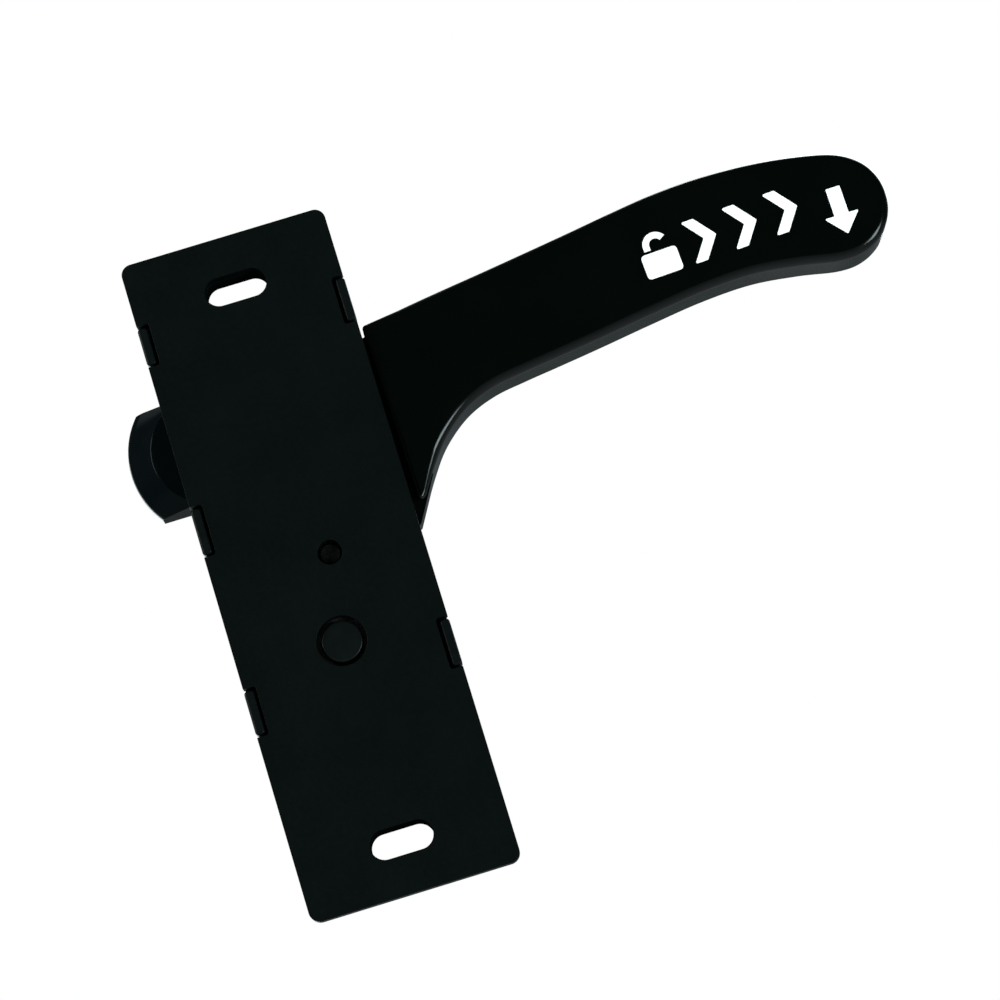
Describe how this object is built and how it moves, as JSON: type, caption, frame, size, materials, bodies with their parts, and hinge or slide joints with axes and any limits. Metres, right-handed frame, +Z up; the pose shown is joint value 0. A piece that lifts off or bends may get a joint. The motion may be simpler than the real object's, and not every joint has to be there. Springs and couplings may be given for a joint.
{
  "type": "screen door lever latch",
  "caption": "Slim rectangular door-latch body with a long press-down lever on one edge, a sprung rounded bolt on the other, and a quarter-turn lock, and slotted screw holes in its flat back.",
  "frame": {"origin": "centre of the back plate's flat mounting face", "axes": "+X along the width towards the lever's tip, +Y out of the mounting face into the housing and its front, +Z up the plate"},
  "size_m": [0.1686, 0.0334, 0.143],
  "materials": {
    "plate": "fine matte black moulding",
    "cover": "fine matte black moulding",
    "lever": "polished black",
    "bolt": "polished black",
    "lock": "satin black",
    "cam": "dark grey",
    "bush": "natural white",
    "steel": "zinc plated",
    "oxide": "black oxide",
    "spring": "bright spring wire",
    "bumper": "matte"
  },
  "bodies": {
    "housing": {"back_plate": "plate", "front_cover": "cover", "lever_pivot_pin": "oxide", "lever_spacer_washer": "steel", "lever_return_spring": "spring", "lever_stop_bumper": "bumper", "bolt_spring": "spring", "lock_spring_washer": "spring"},
    "lever": {"lever_handle": "lever", "lever_bush": "bush", "bolt_drive_pin": "steel"},
    "bolt": {"latch_bolt": "bolt"},
    "lock": {"lock_shaft": "lock", "lock_cam": "cam", "lock_retaining_ring": "steel", "lock_thumb_turn": "lock"}
  },
  "joints": [
    {"name": "lever_press", "type": "hinge", "parent": "housing", "child": "lever", "pos_m": [0.00285, 0, 0.0005], "axis": [0, 1, 0], "range_deg": [0, 19.5], "stiffness_Nm_per_rad": 0.5, "springref_deg": -40.11, "deforming": ["lever_return_spring"]},
    {"name": "bolt_retract", "type": "slide", "parent": "housing", "child": "bolt", "axis": [1, 0, 0], "range_m": [0, 0.0104], "deforming": ["bolt_spring"]},
    {"name": "lock_turn", "type": "hinge", "parent": "housing", "child": "lock", "pos_m": [0, 0, -0.0179], "axis": [0, 1, 0], "range_deg": [0, 90]}
  ],
  "couplings": [
    {"joint": "bolt_retract", "follows": "lever_press", "m_per_rad": 0.03015}
  ]
}
